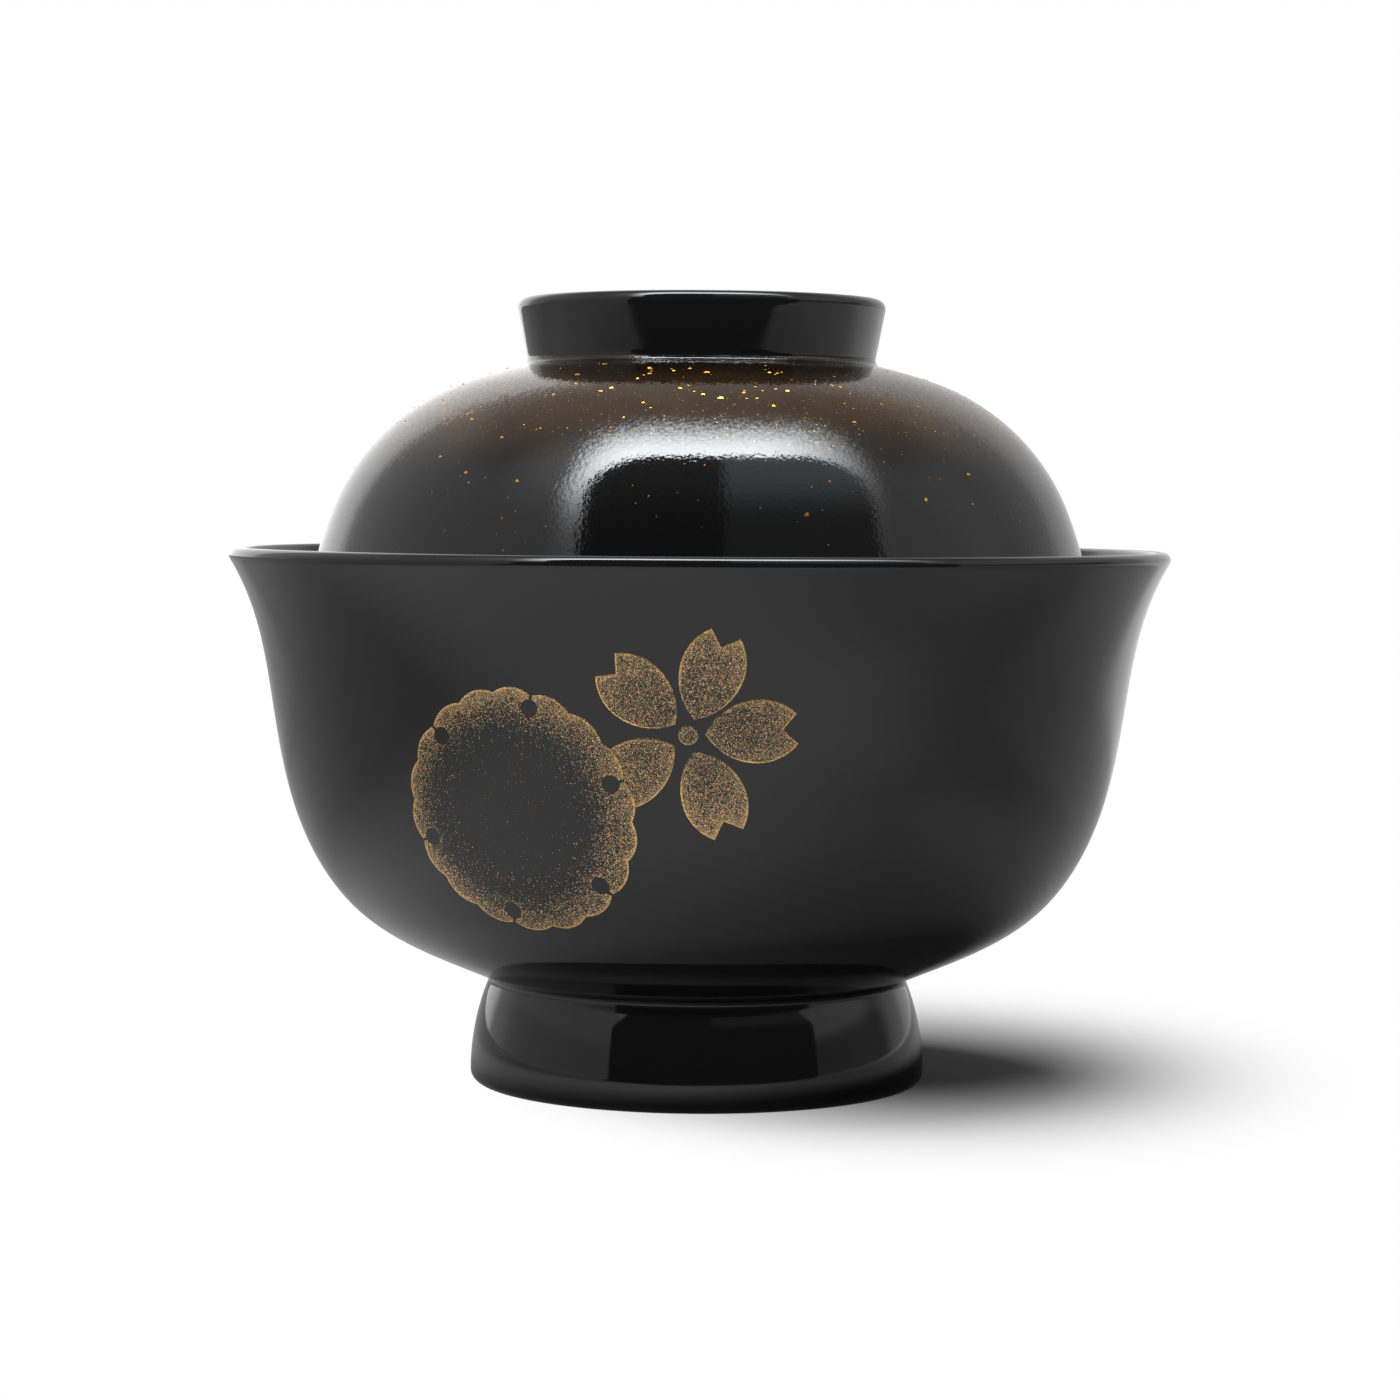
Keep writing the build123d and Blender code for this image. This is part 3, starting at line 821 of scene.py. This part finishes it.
def makeBlossom(s, ringShape):
    outline = petalOutline(s)
    reach = s["radius"] - s["heart"]
    field = np.arange(s["edgeSteps"][-1] + s["fieldStep"], reach - s["fieldStep"] / 2, s["fieldStep"])
    shares = [1 - step / reach for step in (*s["edgeSteps"], *field)]
    petal = flatSheet("petal", outline, (0, s["heart"]), shares, True)
    petals, outlines = [], []
    for clockwise in s["petalTurns"]:
        turn = -math.radians(clockwise)
        copy = petal.copy()
        copy.data = petal.data.copy()
        copy.data.transform(Matrix.Rotation(turn, 4, "Z"))
        bpy.context.collection.objects.link(copy)
        petals.append(copy)
        spin = np.array(((math.cos(turn), -math.sin(turn)), (math.sin(turn), math.cos(turn))))
        outlines.append(outline @ spin.T)
    bpy.data.objects.remove(petal)
    circle = np.linspace(0, 2 * math.pi, s["eyeSteps"], endpoint=False)
    eyeOutline = s["eye"] * np.c_[np.cos(circle), np.sin(circle)]
    eyeShares = [1 - step / s["eye"] for step in s["edgeSteps"]]
    eye = flatSheet("eye", eyeOutline, (0, 0), [*eyeShares, s["eyeHeart"]], True)
    blossom = joinPieces([*petals, eye], "cherry_blossom_powder")
    thicken(blossom, s["thickness"])

    # the blossom ends where the snow ring covers it
    ringOutline = snowOutline(ringShape) * (1 + s["overlap"] / ringShape["radius"])
    ringOutline = acrossFigures(ringOutline, ringShape, s)
    ringMiddle = ringOutline.mean(axis=0)
    cutter = flatSheet("cutter", ringOutline, ringMiddle, s["cutShares"], True)
    cutter.data.transform(Matrix.Translation((0, 0, s["cutDepth"] / 2 * mm)))
    thicken(cutter, s["cutDepth"])
    cutAway(blossom, cutter)

    flat = np.array([v.co[:2] for v in blossom.data.vertices]) / mm
    edge = np.min([edgeDistance(flat, o) for o in (*outlines, eyeOutline)], axis=0)
    far = np.linalg.norm(flat, axis=1)
    inner = s["dense"] + s["denseOut"] * smooth(far, s["outFrom"], s["radius"])
    bright = s["most"] + (1 - s["most"]) * smooth(far, s["outFrom"], s["lineFull"])
    field = np.minimum(s["most"], inner + s["rim"] * np.exp(-edge / s["rimReach"]))
    amount = np.where(edge < s["line"], bright, field)
    relief(blossom, edge, amount, np.ones(len(flat)), s)
    layOnWall(blossom, s["turn"], s["height"])
    draw = random.Random(s["seed"])
    places = []
    for clockwise in s["petalTurns"]:
        for _ in range(s["grains"]):
            along = draw.uniform(s["base"] + s["grainFoot"], s["radius"] - s["notchDepth"] - s["grainTip"])
            across = draw.uniform(-s["grainAcross"], s["grainAcross"]) * s["halfWidth"]
            place = heading(90 - clockwise) * along + heading(-clockwise) * across
            clear = edgeDistance(place[None], ringOutline)[0] > s["grainClear"]
            if clear and np.linalg.norm(place - ringMiddle) > ringShape["radius"]:
                places.append(place)
    return withGrains(blossom, places, s, draw)


finishPiece(makeSnowRing(snowRing), "bowl", "gold", powder, "snow_ring_gold")
finishPiece(makeBlossom(cherryBlossom, snowRing), "bowl", "gold", powder, "cherry_blossom_gold")

# Gold flakes strewn over the lid's dome, thick near the knob and thin towards the lip
flakes = {
    "count": 340, "seed": 21, "smallest": 0.14, "largest": 0.46, "thickness": 0.16, "lowShare": 0.5,
    "trackSteps": 40, "crowding": (2.4, 6.2), "ragged": 0.3, "leanLeast": 12.0, "leanMost": 30.0,
    "sunk": 0.015, "sunkLean": 0.5,
}


def strewFlakes(s, dome):
    draw = random.Random(s["seed"])
    track = pointsAlong(dome, s["trackSteps"])[::-1]
    runs = np.gradient(track, axis=0)
    flake = makeFlake(s["thickness"])
    strewn = []
    for _ in range(s["count"]):
        at = int(draw.betavariate(*s["crowding"]) * (len(track) - 1))
        radius, height = track[at]
        outward = leftOf(runs[at])
        around = draw.uniform(0, 2 * math.pi)
        normal = Vector((outward[0] * math.sin(around), -outward[0] * math.cos(around), outward[1]))
        size = s["smallest"] + (s["largest"] - s["smallest"]) * draw.random() ** 2
        size *= 1 - (1 - s["lowShare"]) * at / len(track)
        angle = math.radians(draw.uniform(s["leanLeast"], s["leanMost"]) * normal.z)
        lean = Matrix.Rotation(angle, 4, "X")
        spin = Matrix.Rotation(draw.uniform(0, 2 * math.pi), 4, "Z")
        stretch = Matrix.Diagonal((size, size * draw.uniform(1 - s["ragged"], 1), size, 1))
        sunk = s["sunk"] + s["sunkLean"] * size * math.sin(angle)
        place = Vector((radius * math.sin(around), -radius * math.cos(around), height)) - normal * sunk
        copy = flake.copy()
        copy.data = flake.data.copy()
        turn = normal.to_track_quat("Z", "Y").to_matrix().to_4x4()
        copy.data.transform(Matrix.Translation(place * mm) @ turn @ lean @ spin @ stretch)
        bpy.context.collection.objects.link(copy)
        strewn.append(copy)
    bpy.data.objects.remove(flake)
    return joinPieces(strewn, "lid_gold_flakes")


finishPiece(strewFlakes(flakes, lidDome), "lid", "gold", flakeGold)

# Studio: lengths are in metres here, except the camera's place
floorLook = {
    "floorSize": 8.0, "floor": (0.95, 0.95, 0.95, 1), "floorSoft": 0.9,
    "floorMiddle": (0, -0.12, 0), "nearFloor": (0.10, 0.21), "farFloor": (0.30, 0.42),
    "floorNear": 0.86, "floorSide": 0.41, "floorFar": 0.58,
    "backFloor": (0.10, 0.35), "backLeft": 0.68, "backRight": 1.5,
    "glossShadowMiddle": (0.10, -0.05, 0), "glossShadowReach": (0.036, 0.12), "glossShadowShare": 0.6,
    "shadowMiddle": (0.029, 0.024), "shadowReach": (0.0625, 0.097), "shadowInner": 0.25, "whiteInGloss": 0.15,
}


def farFrom(tree, point):
    node = tree.nodes.new("ShaderNodeVectorMath")
    node.operation = "DISTANCE"
    tree.links.new(objectPlace(tree), node.inputs[0])
    node.inputs[1].default_value = point
    return node.outputs["Value"]


def makeFloor(s):
    bpy.ops.mesh.primitive_plane_add(size=s["floorSize"], location=(0, 0, 0))
    floor = bpy.context.object
    floor.name = "floor"
    material, tree, shader = newMaterial("pale_floor")
    split = tree.nodes.new("ShaderNodeSeparateXYZ")
    tree.links.new(objectPlace(tree), split.inputs[0])
    x, y, _ = split.outputs
    # what the gloss shows of the floor: pale in front, duller at the sides
    dim = ramp(tree, farFrom(tree, s["floorMiddle"]), *s["nearFloor"], s["floorNear"], s["floorSide"])
    far = ramp(tree, farFrom(tree, (0, 0, 0)), *s["farFloor"], 0.0, s["floorFar"] - s["floorSide"])
    dim = calc(tree, "ADD", dim, far)
    behind = ramp(tree, x, -s["backFloor"][1], s["backFloor"][1], s["backLeft"], s["backRight"])
    dim = calc(tree, "MULTIPLY", dim, ramp(tree, y, *s["backFloor"], 1.0, behind))
    # painted shadow: a darker patch of floor to the right of the foot, seen in the gloss alone
    dark = ramp(tree, farFrom(tree, s["glossShadowMiddle"]), *s["glossShadowReach"], s["glossShadowShare"], 1.0)
    dim = calc(tree, "MULTIPLY", dim, dark)
    path = tree.nodes.new("ShaderNodeLightPath")
    shiny = calc(tree, "MAXIMUM", path.outputs["Is Glossy Ray"], path.outputs["Is Transmission Ray"])
    share = ramp(tree, shiny, 0.0, 1.0, 1.0, dim)
    feed(tree, shader.inputs["Base Color"], blendColour(tree, share, (0, 0, 0, 1), s["floor"]))
    shader.inputs["Roughness"].default_value = s["floorSoft"]
    shader.inputs["Specular IOR Level"].default_value = 0.0
    floor.data.materials.append(material)
    # painted light: the floor glows white for the camera, and faintly in the gloss, over the object's shadow,
    # except in an ellipse beside the foot, where the real shadow shows
    across = [
        calc(tree, "DIVIDE", calc(tree, "SUBTRACT", value, middle), reach)
        for value, middle, reach in zip((x, y), s["shadowMiddle"], s["shadowReach"])
    ]
    off = hypotenuse(tree, *across)
    white = tree.nodes.new("ShaderNodeEmission")
    feed(tree, white.inputs["Strength"], share)
    both = tree.nodes.new("ShaderNodeMixShader")
    seen = ramp(tree, shiny, 0.0, 1.0, path.outputs["Is Camera Ray"], s["whiteInGloss"])
    feed(tree, both.inputs[0], calc(tree, "MULTIPLY", ramp(tree, off, s["shadowInner"], 1.0), seen))
    tree.links.new(shader.outputs[0], both.inputs[1])
    tree.links.new(white.outputs[0], both.inputs[2])
    tree.links.new(both.outputs[0], tree.nodes["Material Output"].inputs["Surface"])


frontShape = {"openDark": 0.06, "frontDark": 0.235, "frontDeep": 3.0, "frontLeft": -46.0, "frontRight": 61.0}


# Dark room in front of the table, seen in the gloss alone
def makeDarkFront(s):
    bpy.ops.mesh.primitive_plane_add(size=1, location=(0, 0, 0))
    front = bpy.context.object
    front.name = "dark_front"
    near, far = s["frontDark"], s["frontDark"] + s["frontDeep"]
    left, right = math.tan(math.radians(s["frontLeft"])), math.tan(math.radians(s["frontRight"]))
    corners = ((left * near, -near), (right * near, -near), (left * far, -far), (right * far, -far))
    order = sorted(front.data.vertices, key=lambda v: (-v.co.y, v.co.x))
    for vertex, (x, y) in zip(order, corners):
        vertex.co = (x, y, mm)
    material, _, shader = newMaterial("dark_room")
    shader.inputs["Base Color"].default_value = (s["openDark"],) * 3 + (1,)
    shader.inputs["Specular IOR Level"].default_value = 0.0
    front.data.materials.append(material)
    front.visible_camera = front.visible_diffuse = front.visible_shadow = False
    front.visible_transmission = front.visible_volume_scatter = False


surroundings = {
    "skyOnFloor": 0.06, "sideSky": 0.7, "highSky": 0.62, "highBack": (-0.2, 0.2), "highUp": (0.6, 0.85),
    "backSky": 1.5, "backFrom": (0.63, 0.79), "backUpTo": (0.6, 0.75),
    "rightBack": 0.5, "rightFrom": (0.0, 0.08),
    "rightSky": 0.75, "rightTurn": (0.0, 0.3), "rightRun": (0.05, 0.4),
    "lowBack": (0.3, 0.6), "lowLeft": 0.8, "lowRight": 0.4,
    "lowHeight": (0.175, 0.35), "lowAside": (0.2, 0.5),
    "openMiddle": 4.6, "openHalf": 22.8, "openFoot": 27.0, "footTilt": (12.0, 17.0),
    "openTop": 37.0, "openRound": 11.5, "openEdge": 0.5, "cornerLeast": 0.01,
    "roomDark": 0.085, "roomTop": 0.2, "openPale": 0.2, "paleTop": 0.95, "roomUpper": (19.0, 33.0),
    "paleTurn": (3.0, 4.5), "paleTilt": (12.0, 15.0),
    "glow": 21.0, "glowReach": 14.0, "sideReach": 5.6, "glowFall": 1.15, "haloShare": 0.06, "haloReach": 18.0,
    "glowTilt": (13.0, 39.0), "glowClimb": 1.3, "glowTurn": (7.9, 32.8),
    "glowColour": (0.92, 0.97, 1.0, 1), "tintGain": 6.0,
}


# Surroundings, told by the facing that mirrors them to the camera: turn to the right and tilt upwards
def makeWorld(s):
    world = bpy.data.worlds.new("studio")
    bpy.context.scene.world = world
    world.use_nodes = True
    tree = world.node_tree
    split = tree.nodes.new("ShaderNodeSeparateXYZ")
    tree.links.new(tree.nodes.new("ShaderNodeTexCoord").outputs["Generated"], split.inputs[0])
    x, y, z = split.outputs
    ahead = calc(tree, "SUBTRACT", 1.0, y)
    level = hypotenuse(tree, x, ahead)
    turn = calc(tree, "DEGREES", calc(tree, "ARCTAN2", x, ahead))
    tilt = calc(tree, "DEGREES", calc(tree, "ARCTAN2", z, level))

    half = ramp(tree, tilt, *s["footTilt"], s["openFoot"], s["openHalf"])
    aside = calc(tree, "ABSOLUTE", calc(tree, "SUBTRACT", turn, s["openMiddle"]))
    aside = calc(tree, "SUBTRACT", calc(tree, "ADD", aside, s["openRound"]), half)
    aside = calc(tree, "MAXIMUM", aside, 0.0)
    above = calc(tree, "MAXIMUM", calc(tree, "SUBTRACT", tilt, s["openTop"] - s["openRound"]), 0.0)
    corner = hypotenuse(tree, aside, above)
    beyond = calc(tree, "SUBTRACT", corner, s["openRound"])
    inside = ramp(tree, beyond, -s["openEdge"], s["openEdge"], 1.0, 0.0)
    upwards = calc(tree, "DIVIDE", above, calc(tree, "MAXIMUM", corner, s["cornerLeast"]))
    reach = ramp(tree, calc(tree, "POWER", upwards, 2.0), 0.0, 1.0, s["sideReach"], s["glowReach"])
    fade = calc(tree, "POWER", ramp(tree, beyond, 0.0, reach, 1.0, 0.0), s["glowFall"])
    halo = ramp(tree, beyond, 0.0, s["haloReach"], s["haloShare"], 0.0)
    fade = calc(tree, "ADD", calc(tree, "MULTIPLY", fade, 1 - s["haloShare"]), halo)
    height = calc(tree, "POWER", ramp(tree, tilt, *s["glowTilt"]), s["glowClimb"])
    oneSide = ramp(tree, turn, *s["glowTurn"], 1.0, 0.0)
    glow = calc(tree, "MULTIPLY", calc(tree, "MULTIPLY", fade, height), oneSide)

    pale = calc(tree, "MULTIPLY", ramp(tree, turn, *s["paleTurn"]), ramp(tree, tilt, *s["paleTilt"]))
    darkRoom = ramp(tree, tilt, *s["roomUpper"], s["roomDark"], s["roomTop"])
    paleRoom = ramp(tree, tilt, *s["roomUpper"], s["openPale"], s["paleTop"])
    room = ramp(tree, pale, 0.0, 1.0, darkRoom, paleRoom)
    backdrop = calc(tree, "MULTIPLY", ramp(tree, y, *s["backFrom"]), ramp(tree, z, *s["backUpTo"], 1.0, 0.0))
    backSky = ramp(tree, x, *s["rightFrom"], s["backSky"], s["rightBack"] * s["backSky"])
    rightSide = calc(tree, "MULTIPLY", ramp(tree, x, *s["rightTurn"]), ramp(tree, y, *s["rightRun"]))
    sideSky = ramp(tree, rightSide, 0.0, 1.0, s["sideSky"], s["rightSky"] * s["sideSky"])
    sky = ramp(tree, backdrop, 0.0, 1.0, sideSky, backSky)
    low = ramp(tree, z, *s["lowHeight"], 1.0, 0.0)
    low = calc(tree, "MULTIPLY", low, ramp(tree, y, *s["lowBack"], 1.0, 0.0))
    for sign, share in ((-1.0, s["lowLeft"]), (1.0, s["lowRight"])):
        lowSide = ramp(tree, calc(tree, "MULTIPLY", x, sign), *s["lowAside"])
        lowSide = calc(tree, "MULTIPLY", low, lowSide)
        sky = calc(tree, "MULTIPLY", sky, ramp(tree, lowSide, 0.0, 1.0, 1.0, share))
    high = calc(tree, "MULTIPLY", ramp(tree, y, *s["highBack"]), ramp(tree, z, *s["highUp"]))
    sky = calc(tree, "MULTIPLY", sky, ramp(tree, high, 0.0, 1.0, 1.0, s["highSky"]))
    sky = calc(tree, "ADD", sky, calc(tree, "MULTIPLY", glow, s["glow"]))
    gloss = ramp(tree, inside, 0.0, 1.0, sky, room)
    path = tree.nodes.new("ShaderNodeLightPath")
    shiny = calc(tree, "MAXIMUM", path.outputs["Is Glossy Ray"], path.outputs["Is Transmission Ray"])
    strength = ramp(tree, path.outputs["Is Camera Ray"], 0.0, 1.0, s["skyOnFloor"], 1.0)
    strength = ramp(tree, shiny, 0.0, 1.0, strength, gloss)
    background = tree.nodes["Background"]
    tree.links.new(strength, background.inputs["Strength"])
    tint = calc(tree, "MULTIPLY", calc(tree, "MULTIPLY", glow, s["tintGain"], True), shiny)
    feed(tree, background.inputs["Color"], blendColour(tree, tint, (1, 1, 1, 1), s["glowColour"]))


keyLight = {"energy": 3.15, "width": 54.0, "from": (-0.26, 0.02, 1.0)}


def makeKey(s):
    bpy.ops.object.light_add(type="SUN", location=Vector(s["from"]))
    key = bpy.context.object
    key.rotation_euler = Vector(s["from"]).to_track_quat("Z", "Y").to_euler()
    key.data.energy = s["energy"]
    key.data.angle = math.radians(s["width"])
    key.visible_glossy = False


# The photograph's camera: its place, tilt and roll were fitted to the bowl's outline
camera = {
    "lens": 93.73, "sensor": 36.0, "shiftX": 0.0007, "clipStart": 0.01,
    "place": (0.0, -468.5, 75.47), "tilt": -3.24, "roll": 0.37,
}


def makeCamera(s):
    bpy.ops.object.camera_add()
    cam = bpy.context.object
    cam.data.lens = s["lens"]
    cam.data.sensor_width = s["sensor"]
    cam.data.shift_x = s["shiftX"]
    cam.data.clip_start = s["clipStart"]
    tilt = Matrix.Rotation(math.radians(90 + s["tilt"]), 4, "X")
    roll = Matrix.Rotation(math.radians(s["roll"]), 4, "Z")
    cam.matrix_world = Matrix.Translation(Vector(s["place"]) * mm) @ tilt @ roll
    bpy.context.scene.camera = cam


makeFloor(floorLook)
makeDarkFront(frontShape)
makeWorld(surroundings)
makeKey(keyLight)
makeCamera(camera)
bpy.context.scene.view_settings.view_transform = "Standard"
bpy.ops.object.select_all(action="DESELECT")
print("studio set")
